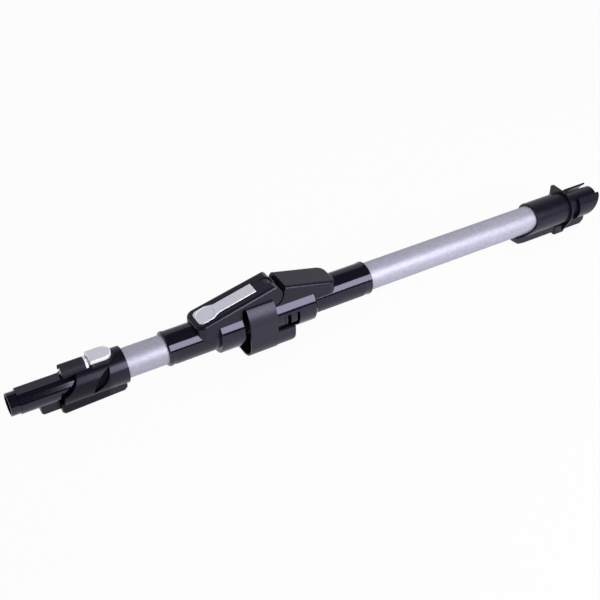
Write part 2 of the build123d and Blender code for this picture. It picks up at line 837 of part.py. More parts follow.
# Hinge pin cap: closes the hole the pin was pushed through, on the far side
with BuildPart() as hinge_pin_cap:
    with BuildSketch(Plane.XZ.offset(-cover_w / 2 + pin_cap_len)):
        with Locations((pivot_x, pivot_z)):
            Circle(pin_cap_r)
    extrude(amount=-pin_cap_len)
hinge_pin_cap.part.label = "hinge_pin_cap"
export_step(hinge_pin_cap.part, "parts/hinge_pin_cap.step")

# Hinge bush: plain bearing in the floor-side eye
with BuildPart() as hinge_bush:
    with BuildSketch(Plane.XZ):
        with Locations((pivot_x, pivot_z)):
            Circle(hinge_pin_r + bush_wall)
            Circle(hinge_pin_r + pin_fit, mode=Mode.SUBTRACT)
    extrude(amount=eye_w / 2, both=True)
hinge_bush.part.label = "hinge_bush"
export_step(hinge_bush.part, "parts/hinge_bush.step")

# Shallow panels beside the snap windows
with BuildPart() as snap_panels:
    with BuildSketch(Plane.XZ):
        with Locations((lower_barrel_x + panel_run, window_z)):
            Rectangle(panel_len, window_h, align=(Align.MIN, Align.CENTER))
    extrude(amount=barrel_r + panel_depth, both=True)
    with BuildSketch(Plane.YZ.offset(lower_barrel_x)):
        Circle(barrel_r - panel_depth)
    extrude(amount=lower_barrel_len, mode=Mode.SUBTRACT)

# Floor-side hinge body: barrel round the hose's other end and the sleeve on the lower tube
clear_r = knuckle_r + knuckle_gap
lower_stop_x = lower_tube_x - stop_ring_len
with BuildPart() as lower_hinge_body:
    with BuildSketch(Plane.XZ):
        with BuildLine():
            Polyline(
                (lower_barrel_x, barrel_bore_r),
                (lower_barrel_x, barrel_r),
                (lower_barrel_end - barrel_edge_r, barrel_r),
                (lower_barrel_end, barrel_r - barrel_edge_r),
                (lower_barrel_end, sleeve_r),
                (lower_sleeve_end - bead_len, sleeve_r),
                (lower_sleeve_end - bead_len + bead_edge, bead_r),
                (lower_sleeve_end - bead_edge, bead_r),
                (lower_sleeve_end, bead_r - bead_edge),
                (lower_sleeve_end, socket_r),
                (lower_tube_x - seat_gap, socket_r),
                (lower_tube_x - seat_gap, stop_ring_r),
                (lower_stop_x, stop_ring_r),
                (lower_stop_x, barrel_bore_r),
                close=True,
            )
        make_face()
    revolve(axis=Axis.X)
    with BuildSketch(Plane.XZ):
        with Locations((pivot_x, pivot_z)):
            Circle(clear_r)
    extrude(amount=lip_half_w, both=True, mode=Mode.SUBTRACT)
    with BuildSketch(Plane.XZ):
        with Locations((lower_barrel_x + window_run, window_z)):
            Rectangle(window_len, window_h, align=(Align.MIN, Align.CENTER))
        with Locations((lower_barrel_x + window_run + finger_inset, window_z + window_h / 2)):
            Rectangle(finger_len, finger_h, align=(Align.MIN, Align.MAX), mode=Mode.SUBTRACT)
    extrude(amount=barrel_r + spare, both=True, mode=Mode.SUBTRACT)
    add(snap_panels.part, mode=Mode.SUBTRACT)
lower_hinge_body.part.label = "lower_hinge_body"
export_step(lower_hinge_body.part, "parts/lower_hinge_body.step")

# Floor-side hinge cover: wedge housing with the hollow end that the knuckle turns in, and the eye
lower_nose_x = pivot_x + lower_nose_run
lower_face_x = pivot_x + lower_face_run
face_low = on_pivot(clear_r, face_low_angle)
face_top = on_pivot(clear_r, face_top_angle)
arm_reach = clear_r + 2 * spare
with BuildPart() as lower_hinge_cover:
    with BuildSketch(Plane.XY):
        with Locations((pivot_x, 0)):
            Rectangle(lower_nose_run, cover_w, align=(Align.MIN, Align.CENTER))
        fillet(vertices().group_by(Axis.X)[-1], lower_nose_r)
    extrude(amount=pivot_z + knuckle_r)
    with BuildSketch(Plane.XZ):
        with BuildLine():
            Polyline(
                face_low,
                (face_low[0], sleeve_r / 2),
                (lower_nose_x + spare, sleeve_r / 2),
                (lower_nose_x + spare, lower_top_z(lower_nose_x + spare)),
                (lower_face_x, lower_top_z(lower_face_x)),
                face_top,
            )
            ThreePointArc(face_top, on_pivot(clear_r, (face_low_angle + face_top_angle) / 2), face_low)
        make_face()
    extrude(amount=cover_w, both=True, mode=Mode.INTERSECT)
    top_face = faces().filter_by(lambda f: (f.normal_at() - lower_top.z_dir).length < 0.01)[0]
    fillet(top_face.edges().sort_by(Axis.X)[1:], cover_edge_r)
    with BuildSketch(Plane.YZ.offset(pivot_x - spare)):
        Circle(barrel_r + seat_gap)
    extrude(amount=lower_barrel_end + seat_gap - pivot_x + spare, mode=Mode.SUBTRACT)
    with BuildSketch(Plane.YZ.offset(lower_barrel_end)):
        Circle(sleeve_r + seat_gap)
    extrude(amount=lower_sleeve_len, mode=Mode.SUBTRACT)
    with BuildSketch(Plane.XZ):
        with Locations((pivot_x, pivot_z)):
            Circle(eye_r)
        with BuildLine():
            Polyline(
                on_pivot(eye_r, arm_low_angle),
                (pivot_x + arm_reach, barrel_r + run_gap),
                on_pivot(arm_reach, arm_top_angle),
                on_pivot(eye_r, arm_top_angle),
                close=True,
            )
        make_face()
    extrude(amount=eye_w / 2, both=True)
    with BuildSketch(Plane.XZ):
        with Locations((pivot_x, pivot_z)):
            Circle(hinge_pin_r + bush_wall + seat_gap / 2)
    extrude(amount=eye_w, both=True, mode=Mode.SUBTRACT)
    with BuildSketch(upper_top.offset(-guide_depth - run_gap)):
        with Locations((-eye_r - spare, 0)):
            Rectangle(spare + notch_depth, eye_w + 2 * spare, align=(Align.MIN, Align.CENTER))
    extrude(amount=latch_h + 2 * run_gap, mode=Mode.SUBTRACT)
lower_hinge_cover.part.label = "lower_hinge_cover"
export_step(lower_hinge_cover.part, "parts/lower_hinge_cover.step")


def shroud_outline():
    """Cross-section of the shroud: round-bottomed, with sides that lean in towards the cover."""
    with BuildSketch() as outline:
        with BuildLine():
            base_y = shroud_half_w - shroud_corner_r
            base_z = -shroud_drop + shroud_corner_r
            top_y = shroud_top_half_w
            lean_y = shroud_half_w - shroud_lean
            lean_z = (shroud_side_z + shroud_top_z) / 2
            Line((-base_y, -shroud_drop), (base_y, -shroud_drop))
            RadiusArc((base_y, -shroud_drop), (shroud_half_w, base_z), -shroud_corner_r)
            Line((shroud_half_w, base_z), (shroud_half_w, shroud_side_z))
            ThreePointArc((shroud_half_w, shroud_side_z), (lean_y, lean_z), (top_y, shroud_top_z))
            Line((top_y, shroud_top_z), (-top_y, shroud_top_z))
            ThreePointArc((-top_y, shroud_top_z), (-lean_y, lean_z), (-shroud_half_w, shroud_side_z))
            Line((-shroud_half_w, shroud_side_z), (-shroud_half_w, base_z))
            RadiusArc((-shroud_half_w, base_z), (-base_y, -shroud_drop), -shroud_corner_r)
        make_face()
    return outline.sketch


# Hinge shroud: U-shaped band round the hose, with a tail under the floor-side barrel
shroud_x = pivot_x - shroud_len
with BuildPart() as hinge_shroud:
    with BuildSketch(Plane.YZ.offset(shroud_x)):
        add(shroud_outline())
    extrude(amount=shroud_len)
    with BuildSketch(Plane.YZ.offset(shroud_x)):
        add(offset(shroud_outline(), amount=-shroud_wall))
        with Locations((0, shroud_top_z)):
            Rectangle(2 * lip_half_w, shroud_corner_r)
    extrude(amount=shroud_len - shroud_wall, mode=Mode.SUBTRACT)
    with BuildSketch(Plane.YZ.offset(pivot_x)):
        with Locations((0, -tail_step)):
            add(offset(shroud_outline(), amount=-tail_step))
        with Locations((0, tail_top_z)):
            Rectangle(2 * shroud_half_w, shroud_drop, align=(Align.CENTER, Align.MAX), mode=Mode.INTERSECT)
    extrude(amount=tail_len)
    with BuildSketch(Plane.XZ):
        with Locations((pivot_x + tail_len, -shroud_drop)):
            Rectangle(tail_end_r, tail_end_r, align=(Align.MAX, Align.MIN))
        with Locations((pivot_x + tail_len - tail_end_r, -shroud_drop + tail_end_r)):
            Circle(tail_end_r, mode=Mode.SUBTRACT)
    extrude(amount=shroud_half_w, both=True, mode=Mode.SUBTRACT)
    with BuildSketch(Plane.YZ.offset(pivot_x - shroud_wall)):
        Circle(barrel_bore_r)
        with Locations((0, shroud_top_z)):
            Rectangle(2 * lip_half_w, shroud_top_z)
    extrude(amount=shroud_wall, mode=Mode.SUBTRACT)
    with BuildSketch(Plane.YZ.offset(pivot_x)):
        Circle(barrel_r + seat_gap)
    extrude(amount=tail_len + spare, mode=Mode.SUBTRACT)
    with BuildSketch(Plane.XZ):
        with Locations((pivot_x, pivot_z)):
            Circle(clear_r)
    extrude(amount=lip_half_w, both=True, mode=Mode.SUBTRACT)
hinge_shroud.part.label = "hinge_shroud"
export_step(hinge_shroud.part, "parts/hinge_shroud.step")

# Bellows hose: carries the air across the fold
hose_x0 = upper_tube_end + stop_ring_len + seat_gap
hose_x1 = lower_stop_x - seat_gap
fold_x0 = hose_x0 + hose_cuff_len
fold_x1 = hose_x1 - hose_cuff_len
fold_count = round((fold_x1 - fold_x0) / hose_pitch)
fold_pitch = (fold_x1 - fold_x0) / fold_count
with BuildPart() as bellows_hose:
    with BuildSketch(Plane.XZ):
        with BuildLine():
            outer = [(hose_x0, hose_root_r), (fold_x0, hose_root_r)]
            for fold in range(fold_count):
                outer.append((fold_x0 + (fold + 0.5) * fold_pitch, hose_r))
                outer.append((fold_x0 + (fold + 1) * fold_pitch, hose_root_r))
            outer.append((hose_x1, hose_root_r))
            inner = [(x, r - hose_wall) for x, r in reversed(outer)]
            Polyline(*outer, *inner, close=True)
        make_face()
    revolve(axis=Axis.X)
bellows_hose.part.label = "bellows_hose"
export_step(bellows_hose.part, "parts/bellows_hose.step")


def hose_cuff(x, way):
    """Ring that holds one end of the hose in its barrel."""
    grip_r = hose_root_r + seat_gap
    with BuildPart() as cuff:
        with BuildSketch(Plane.XZ):
            with BuildLine():
                Polyline(
                    (x, grip_r),
                    (x, barrel_bore_r - seat_gap),
                    (x + way * 2 * cuff_wall, barrel_bore_r - seat_gap),
                    (x + way * 2 * cuff_wall, grip_r + cuff_wall),
                    (x + way * (hose_cuff_len - spare), grip_r + cuff_wall),
                    (x + way * (hose_cuff_len - spare), grip_r),
                    close=True,
                )
            make_face()
        revolve(axis=Axis.X)
    return cuff.part


hose_cuff_hand = hose_cuff(hose_x0, 1)
hose_cuff_hand.label = "hose_cuff_hand"
export_step(hose_cuff_hand, "parts/hose_cuff_hand.step")
hose_cuff_floor = hose_cuff(hose_x1, -1)
hose_cuff_floor.label = "hose_cuff_floor"
export_step(hose_cuff_floor, "parts/hose_cuff_floor.step")

# Lower tube
with BuildPart() as lower_tube:
    with BuildSketch(Plane.YZ.offset(lower_tube_x)):
        Circle(tube_r)
        Circle(tube_bore_r, mode=Mode.SUBTRACT)
    extrude(amount=lower_tube_end - lower_tube_x)
lower_tube.part.label = "lower_tube"
export_step(lower_tube.part, "parts/lower_tube.step")


def cradle_outline(inner_r):
    """Section of the cradle round the nozzle: open at the top, and below for the contact block."""
    reach = cradle_r * math.tan(math.radians(cradle_angle))
    with BuildSketch() as outline:
        Circle(cradle_r)
        Circle(inner_r, mode=Mode.SUBTRACT)
        with BuildLine():
            Polyline((0, 0), (reach, cradle_r), (0, 2 * cradle_r), (-reach, cradle_r), close=True)
        make_face(mode=Mode.SUBTRACT)
        Rectangle(
            plug_block_w + 2 * seat_gap,
            cradle_r,
            align=(Align.CENTER, Align.MAX),
            mode=Mode.SUBTRACT,
        )
    return outline.sketch


# Floor connector: collar, flange and nozzle moulded in one piece
with BuildPart() as floor_connector:
    with BuildSketch(Plane.YZ.offset(floor_collar_x)):
        Circle(floor_collar_r)
    extrude(amount=flange_x - floor_collar_x)
    scallop_x1 = floor_collar_x + floor_scallop
    arch_low = (floor_collar_x + floor_mouth_lead, floor_mouth_z)
    arch_top = (scallop_x1, floor_scallop_z)
    arch_mid = (
        (arch_low[0] + arch_top[0]) / 2 + floor_mouth_sag,
        (arch_low[1] + arch_top[1]) / 2 - floor_mouth_sag / 2,
    )
    with BuildSketch(Plane.XZ):
        with BuildLine():
            Polyline(
                arch_top,
                (scallop_x1, floor_collar_r + spare),
                (floor_collar_x - spare, floor_collar_r + spare),
                (floor_collar_x - spare, floor_mouth_z),
                arch_low,
            )
            ThreePointArc(arch_low, arch_mid, arch_top)
        make_face()
    extrude(amount=floor_collar_r + spare, both=True, mode=Mode.SUBTRACT)
    with BuildSketch(Plane.XZ):
        with BuildLine():
            Polyline(
                (floor_collar_x, -tube_r),
                (floor_collar_x + spare, -tube_r - tongue_lip),
                (floor_collar_x + tongue_ramp, -floor_keel_drop + tongue_rise),
                (floor_collar_x + 2 * tongue_ramp, -floor_keel_drop),
                (flange_x, -floor_keel_drop),
                (flange_x, -tube_r),
                close=True,
            )
        make_face()
    extrude(amount=floor_keel_w / 2, both=True)
    tongue_sides = edges().filter_by(lambda e: abs(e.center().Y) > floor_keel_w / 2 - run_gap)
    fillet(tongue_sides.filter_by(lambda e: e.center().Z < -floor_collar_r - foot_edge_r), foot_edge_r)
    with BuildSketch(Plane.XY.offset(-foot_drop)):
        with Locations((end_spigot_x, 0)):
            Rectangle(foot_len, foot_w, align=(Align.MAX, Align.CENTER))
        fillet(vertices().group_by(Axis.X)[0], foot_edge_r)
    extrude(amount=foot_drop - floor_collar_r)
    foot_face = faces().sort_by(Axis.Z)[0]
    fillet(foot_face.edges().sort_by(Axis.X)[:-1], foot_edge_r)
    with BuildSketch(Plane.YZ.offset(flange_x)):
        with BuildLine():
            CenterArc((0, 0), flange_r, 0, 360)
            CenterArc((foot_w / 2 - foot_corner_r, foot_corner_r - foot_drop), foot_corner_r, 0, 360)
            CenterArc((foot_corner_r - foot_w / 2, foot_corner_r - foot_drop), foot_corner_r, 0, 360)
        make_hull()
        with BuildLine():
            Polyline((0, 0), (ear_y, 0), (ear_y, ear_z - ear_r))
            RadiusArc((ear_y, ear_z - ear_r), (ear_y - ear_r, ear_z), -ear_r)
            Polyline((ear_y - ear_r, ear_z), (0, ear_z), (0, 0))
        make_face()
    extrude(amount=flange_thick)
    with BuildSketch(Plane.YZ.offset(end_spigot_x)):
        Circle(end_spigot_r)
    extrude(amount=end_spigot_len)
    cradle_x = end_spigot_x + cradle_start
    with BuildSketch(Plane.YZ.offset(cradle_x)):
        add(cradle_outline(cradle_r - cradle_wall))
    extrude(amount=wand_end_x - cradle_x)
    with BuildSketch(Plane.YZ.offset(cradle_x)):
        add(cradle_outline(end_spigot_r - cradle_wall))
    extrude(amount=cradle_wall)
    with BuildSketch(Plane.XZ):
        with BuildLine():
            Polyline(
                (floor_collar_x - spare, 0),
                (floor_collar_x - spare, socket_r),
                (lower_tube_end + seat_gap, socket_r),
                (lower_tube_end + seat_gap, end_bore_r),
                (wand_end_x + spare, end_bore_r),
                (wand_end_x + spare, 0),
                close=True,
            )
        make_face()
    revolve(axis=Axis.X, mode=Mode.SUBTRACT)
    with BuildSketch(Plane.XZ):
        with BuildLine():
            Polyline(
                (wand_end_x, cradle_r),
                (wand_end_x, end_slant_z),
                (wand_end_x - end_slant, -cradle_r),
                (wand_end_x + spare, -cradle_r),
                (wand_end_x + spare, cradle_r),
                close=True,
            )
        make_face()
    extrude(amount=cradle_r, both=True, mode=Mode.SUBTRACT)
floor_connector.part.label = "floor_connector"
export_step(floor_connector.part, "parts/floor_connector.step")

# Floor contact block: the plug that carries power into the floor head
with BuildPart() as floor_contact_block:
    block_x0 = end_spigot_x + seat_gap
    block_x1 = end_spigot_x + plug_block_len
    with BuildSketch(Plane.XZ):
        with BuildLine():
            Polyline(
                (block_x0, -end_spigot_r / 2),
                (block_x0, -plug_block_drop),
                (block_x1 - plug_ramp, -plug_block_drop),
                (block_x1, -plug_block_drop + plug_ramp),
                (block_x1, -end_spigot_r / 2),
                close=True,
            )
        make_face()
    extrude(amount=plug_block_w / 2, both=True)
    with BuildSketch(Plane.YZ.offset(end_spigot_x)):
        Circle(end_spigot_r + seat_gap)
    extrude(amount=plug_block_len + spare, mode=Mode.SUBTRACT)
    floor_slot_z = plug_ramp / 4 - (end_spigot_r + plug_block_drop) / 2
    with BuildSketch(Plane.YZ.offset(block_x1)):
        with Locations((0, floor_slot_z)):
            with GridLocations(contact_pitch, 1, 2, 1):
                Rectangle(contact_slot_w, contact_slot_h)
    extrude(amount=-contact_slot_depth, mode=Mode.SUBTRACT)
floor_contact_block.part.label = "floor_contact_block"
export_step(floor_contact_block.part, "parts/floor_contact_block.step")

# Floor contacts: a pair of blades in the plug
with BuildPart() as floor_contacts:
    with BuildSketch(Plane.YZ.offset(block_x1 - contact_slot_depth)):
        with Locations((0, floor_slot_z)):
            with GridLocations(contact_pitch, 1, 2, 1):
                Rectangle(contact_t, contact_slot_h - 2 * run_gap)
    extrude(amount=contact_slot_depth - contact_setback)
floor_contacts.part.label = "floor_contacts"
export_step(floor_contacts.part, "parts/floor_contacts.step")
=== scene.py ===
# %% [markdown]
# # A folding vacuum wand
# The wand is two satin aluminium tubes joined by a black plastic fold hinge, with a silver
# button on the hinge and a silver release pad near the hand end. The shapes come from the
# CAD frame. This lesson gives each part a smooth skin and a finish, and lights it on white.

# %% Load the frame
import json
import math

import bmesh
import bpy
from mathutils import Matrix, Vector
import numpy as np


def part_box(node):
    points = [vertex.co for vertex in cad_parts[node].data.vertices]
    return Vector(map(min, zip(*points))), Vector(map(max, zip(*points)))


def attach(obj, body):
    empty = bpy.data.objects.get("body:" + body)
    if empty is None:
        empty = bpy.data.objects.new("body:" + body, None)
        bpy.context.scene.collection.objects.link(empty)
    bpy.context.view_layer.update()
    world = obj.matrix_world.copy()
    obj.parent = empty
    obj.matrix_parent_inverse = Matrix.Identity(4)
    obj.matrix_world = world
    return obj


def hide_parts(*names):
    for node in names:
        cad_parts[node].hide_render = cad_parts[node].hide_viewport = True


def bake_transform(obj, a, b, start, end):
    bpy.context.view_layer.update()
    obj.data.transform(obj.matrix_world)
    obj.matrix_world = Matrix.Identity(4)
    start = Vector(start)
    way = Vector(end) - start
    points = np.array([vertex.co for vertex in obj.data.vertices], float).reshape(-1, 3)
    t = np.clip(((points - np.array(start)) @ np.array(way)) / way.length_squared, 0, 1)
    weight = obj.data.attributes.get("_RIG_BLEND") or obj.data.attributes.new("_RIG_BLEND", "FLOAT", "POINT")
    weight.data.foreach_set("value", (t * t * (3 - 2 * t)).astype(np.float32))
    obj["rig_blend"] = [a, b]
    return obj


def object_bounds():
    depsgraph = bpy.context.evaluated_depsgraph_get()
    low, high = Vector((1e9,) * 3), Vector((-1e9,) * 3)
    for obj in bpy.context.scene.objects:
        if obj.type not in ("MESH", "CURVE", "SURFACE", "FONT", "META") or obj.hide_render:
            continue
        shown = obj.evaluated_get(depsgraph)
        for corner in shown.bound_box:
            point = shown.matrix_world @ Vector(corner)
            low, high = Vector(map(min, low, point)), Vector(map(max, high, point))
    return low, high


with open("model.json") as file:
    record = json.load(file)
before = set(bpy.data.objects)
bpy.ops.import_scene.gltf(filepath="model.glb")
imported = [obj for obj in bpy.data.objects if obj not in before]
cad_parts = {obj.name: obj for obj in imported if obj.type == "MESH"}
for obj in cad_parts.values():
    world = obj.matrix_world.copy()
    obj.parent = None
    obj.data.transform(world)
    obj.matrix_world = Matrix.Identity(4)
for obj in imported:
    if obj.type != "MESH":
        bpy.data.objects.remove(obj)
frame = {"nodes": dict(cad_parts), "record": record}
nodes = frame["nodes"]
cad_box = [list(corner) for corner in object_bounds()]
print("nodes:", len(nodes), "CAD box:", cad_box)

# %% [markdown]
# ## The camera
# The photograph looks down on the wand from above the hand end. Its place was solved from the
# edges of the tubes and barrels, so the camera is given as a point and two directions: to the
# right in the picture, and into it. Up in the picture follows from those two. The shift of
# half a pixel is there because the edges were measured at the pixels' corners.

# %% Camera
scene = bpy.context.scene
scene.view_settings.view_transform = "Standard"

camera_place = (-0.12939, -0.84753, 0.73674)
picture_right = Vector((0.86611, -0.49970, -0.01258)).normalized()
looking = Vector((0.39178, 0.69427, -0.60374)).normalized()
picture_up = picture_right.cross(looking)
picture_pixels = 600
half_pixel = 0.5 / picture_pixels


def facing(place, right, up, back):
    """The matrix of an object at a place, with its own X, Y and Z along three directions."""
    return Matrix.Translation(place) @ Matrix((right, up, back)).transposed().to_4x4()


camera_data = bpy.data.cameras.new("photo_camera")
camera_data.lens = 63.0
camera_data.sensor_width = 36.0
camera_data.shift_x = -half_pixel
camera_data.shift_y = half_pixel
camera_data.clip_start = 0.05
camera_data.clip_end = 100.0
camera = bpy.data.objects.new("photo_camera", camera_data)
scene.collection.objects.link(camera)
camera.matrix_world = facing(camera_place, picture_right, picture_up, -looking)
scene.camera = camera
print("camera at", camera_place)

# %% [markdown]
# ## Shader maths
# A finish is mostly arithmetic on numbers that change over a surface. The class below wraps a
# socket, so that a line such as `1 - mask * 0.5` adds the Math nodes by itself. Any other node
# comes from one method, `node`, which takes its type, its settings and its inputs. An input
# goes by its name, or by its number as i0 or i1 where names repeat.


# %% A wrapped socket
class Wire:
    """One output socket of a node tree, on which arithmetic adds Math nodes."""

    def __init__(self, tree, socket=None):
        self.tree = tree
        self.socket = socket

    def node(self, kind, settings=None, output=0, **inputs):
        """A new node of this tree. Settings come first, then the values or links of its inputs."""
        made = self.tree.nodes.new(kind)
        for name, value in (settings or {}).items():
            setattr(made, name, value)
        for name, value in inputs.items():
            numbered = name[0] == "i" and name[1:].isdigit()
            key = int(name[1:]) if numbered else name.replace("_", " ")
            if isinstance(value, Wire):
                self.tree.links.new(value.socket, made.inputs[key])
            else:
                made.inputs[key].default_value = value
        return Wire(self.tree, made.outputs[output])

    def math(self, operation, first, second=0.0):
        """A Math node. Each of its inputs is a wire or a number."""
        return self.node("ShaderNodeMath", {"operation": operation}, i0=first, i1=second)

    def __add__(self, other):
        return self.math("ADD", self, other)

    def __radd__(self, other):
        return self.math("ADD", other, self)

    def __sub__(self, other):
        return self.math("SUBTRACT", self, other)

    def __rsub__(self, other):
        return self.math("SUBTRACT", other, self)

    def __mul__(self, other):
        return self.math("MULTIPLY", self, other)

    def __rmul__(self, other):
        return self.math("MULTIPLY", other, self)

    def root(self):
        """The square root."""
        return self.math("SQRT", self)

    def above(self, edge, soft):
        """Nought below an edge and one above it, with a soft step between."""
        return self.node(
            "ShaderNodeMapRange",
            {"interpolation_type": "SMOOTHSTEP"},
            Value=self,
            From_Min=edge - soft,
            From_Max=edge + soft,
        )

    def band(self, low, high, soft):
        """One between low and high, nought outside, with soft edges."""
        return self.above(low, soft) * (1 - self.above(high, soft))


print("wrapped socket ready")

# %% [markdown]
# Colours don't go through Math nodes, which would turn them grey. A Mix node blends two
# colours, and Separate XYZ takes a place or a direction apart into its three numbers.


# %% Colours and coordinates
def mixed(amount, dark, light):
    """A colour between two, by a wire from nought to one. Each is a wire or three numbers."""
    start, end = (c if isinstance(c, Wire) else (*c, 1) for c in (dark, light))
    settings = {"data_type": "RGBA"}
    return amount.node("ShaderNodeMix", settings, output=2, i0=amount, i6=start, i7=end)


def axis(place, index):
    """One of the three coordinates of a place or a direction."""
    return place.node("ShaderNodeSeparateXYZ", output=index, Vector=place)


print("colour helpers ready")

# %% [markdown]
# ## A finish
# Every finish starts in the same way: a Principled shader, the place on the part as Object
# coordinates, and mostly a bump. Grain is noise at the size that the mould or the brush leaves,
# so sizes are given in millimetres and turned into scales per metre.

# %% Starting a finish
finishes = {}


def new_finish(name, **constants):
    """A new material. Gives its shader and a wire with the place on the part."""
    material = bpy.data.materials.new(name)
    material.use_nodes = True
    tree = material.node_tree
    shader = tree.nodes["Principled BSDF"]
    for socket, value in constants.items():
        shader.inputs[socket.replace("_", " ")].default_value = value
    finishes[name] = material
    print("finish:", name)
    return shader, Wire(tree).node("ShaderNodeTexCoord", output="Object")


def plug(shader, **wires):
    """Links wires to the shader's sockets."""
    for socket, wire in wires.items():
        wire.tree.links.new(wire.socket, shader.inputs[socket.replace("_", " ")])


def grain(place, size_mm, stretch=(1, 1, 1), detail=3.0):
    """Noise whose spots are about size_mm across, drawn out along an axis by stretch."""
    per_metre = tuple(1000.0 / (size_mm * s) for s in stretch)
    spread = place.node("ShaderNodeMapping", Vector=place, Scale=per_metre)
    return place.node("ShaderNodeTexNoise", Vector=spread, Scale=1.0, Detail=detail)


def bump(height, depth_mm):
    """A normal from a height that runs from nought to one over depth_mm."""
    depth = depth_mm / 1000.0
    return height.node("ShaderNodeBump", Height=height, Distance=depth, Strength=1.0)


print("finish helpers ready")

# %% [markdown]
# ## Satin tube
# The tubes are drawn aluminium, anodised to a pale, faintly lavender silver. Drawing leaves
# fine lines along the tube, and the anodising softens every reflection. The lines are noise
# stretched along X. With a mottle a few millimetres long they vary the colour and roughness.

# %% Satin tube
deep_lavender = (0.222, 0.221, 0.282)
pale_lavender = (0.636, 0.632, 0.758)
shader, place = new_finish("tube_aluminium", Metallic=0.44, Specular_IOR_Level=0.5)
lines = grain(place, size_mm=0.35, stretch=(120, 1, 1), detail=4)
mottle = grain(place, size_mm=1.8, stretch=(3, 1, 1))
cloud = grain(place, size_mm=22)
streaks = lines * 0.3 + mottle * 0.6 + cloud * 0.1
plug(
    shader,
    Base_Color=mixed(streaks, deep_lavender, pale_lavender),
    Roughness=0.43 + lines * 0.08 + mottle * 0.08,
    Normal=bump(lines, depth_mm=0.003),
)

# %% [markdown]
# ## Gloss black
# The sleeves and barrels of the hinge are polished mouldings. They mirror the studio as a hard
# stripe, so the colour is almost nothing and the roughness is low. Handling leaves faint
# smudges, which vary the roughness and, very slightly, the colour. All black plastics share a
# violet tint of their reflections.

# %% Gloss black
black_tint = (0.78, 0.735, 1.0, 1)
polished_dark = (0.0035, 0.0030, 0.0065)
polished_light = (0.0060, 0.0052, 0.0105)
shader, place = new_finish("gloss_black", Specular_IOR_Level=0.64, Specular_Tint=black_tint)
mould = grain(place, size_mm=0.5)
smudge = grain(place, size_mm=16)
plug(
    shader,
    Base_Color=mixed(smudge, polished_dark, polished_light),
    Roughness=0.07 + smudge * 0.04,
    Normal=bump(mould, depth_mm=0.001),
)

# %% [markdown]
# ## Satin and matte black
# The covers, the collar and the floor connector come from spark-eroded moulds, which leave a
# fine even grain and a soft sheen. The shroud's grain is coarser, so it looks more matte. The
# hose is a soft rubber with hardly any sheen.


# %% Satin and matte black
def moulded_black(name, dark, light, roughness, grain_mm, depth_mm, specular):
    """Black moulded plastic with an even grain."""
    shader, place = new_finish(name, Specular_IOR_Level=specular, Specular_Tint=black_tint)
    fine = grain(place, grain_mm)
    wide = grain(place, size_mm=24)
    plug(
        shader,
        Base_Color=mixed(wide * 0.7 + fine * 0.3, dark, light),
        Roughness=roughness + wide * 0.10 + fine * 0.06,
        Normal=bump(fine, depth_mm),
    )
    return shader, place


satin_shader, satin_place = moulded_black(
    "satin_black",
    dark=(0.0045, 0.0038, 0.0080),
    light=(0.0085, 0.0072, 0.0135),
    roughness=0.20,
    grain_mm=0.35,
    depth_mm=0.005,
    specular=0.44,
)
moulded_black(
    "matte_black",
    dark=(0.011, 0.0098, 0.016),
    light=(0.019, 0.0170, 0.026),
    roughness=0.31,
    grain_mm=0.55,
    depth_mm=0.012,
    specular=0.5,
)
moulded_black(
    "hose_rubber",
    dark=(0.012, 0.012, 0.014),
    light=(0.022, 0.022, 0.024),
    roughness=0.55,
    grain_mm=0.4,
    depth_mm=0.010,
    specular=0.4,
)

# %% [markdown]
# The floor of the lens-shaped finger recess in the collar is much duller than the rest, and its
# colour is darker too, a painted shade, so it looks nearly black. It lies deeper than the
# collar's skin, and a mask of its distance from the wand's axis picks it out. The collar's hand
# side is about half as dull, and the tunnel on its top is dull with a lighter grey colour, a
# painted sheen. The masks mix in a dull shader and pick its colour.

# %% Dull parts of the collar, with painted shade and sheen
collar_lo, collar_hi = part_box("hand_collar")
recess_from, recess_to = collar_hi.x - 0.045, collar_hi.x - 0.015
recess_floor_r = 0.0193
hand_side_from, hand_side_to = collar_lo.x - 0.002, collar_hi.x - 0.022
tunnel_foot_z = 0.0185
hand_side_dullness = 0.5
tunnel_dull_and_sheen = 0.85
# The dull colours are also a painted shade that darkens the recess floor.
dull_and_shade_dark = (0.0014, 0.0012, 0.0022)
dull_and_shade_light = (0.0032, 0.0028, 0.0050)
# The lighter grey on the tunnel's top is a painted sheen.
tunnel_painted_sheen = (0.029, 0.028, 0.040)


def overlay(shader, amount, other):
    """Mixes another shader over a material's own, by a wire from nought to one."""
    tree = amount.tree
    own = Wire(tree, shader.outputs["BSDF"])
    surface = amount.node("ShaderNodeMixShader", i0=amount, i1=own, i2=other)
    tree.links.new(surface.socket, tree.nodes["Material Output"].inputs["Surface"])


along, across, up = (axis(satin_place, index) for index in range(3))
off_axis = (across * across + up * up).root()
in_recess = along.band(recess_from, recess_to, soft=0.0005)
in_recess = in_recess * (1 - off_axis.above(recess_floor_r, soft=0.0003))
hand_side = along.band(hand_side_from, hand_side_to, soft=0.004)
on_tunnel = hand_side * up.above(tunnel_foot_z, soft=0.0008)
dull_and_sheen_share = hand_side_dullness + on_tunnel * (tunnel_dull_and_sheen - hand_side_dullness)
dull_shade_speckle = mixed(grain(satin_place, size_mm=0.5), dull_and_shade_dark, dull_and_shade_light)
# The dull shader also carries the painted shade of the recess and the painted sheen of the tunnel.
dull_shade_and_sheen = satin_place.node(
    "ShaderNodeBsdfPrincipled",
    Base_Color=mixed(on_tunnel, dull_shade_speckle, tunnel_painted_sheen),
    Roughness=0.7,
    Specular_IOR_Level=0.1,
    Specular_Tint=black_tint,
)
overlay(satin_shader, in_recess + hand_side * (1 - in_recess) * dull_and_sheen_share, dull_shade_and_sheen)
print("collar dulled up to x", round(recess_to, 4))
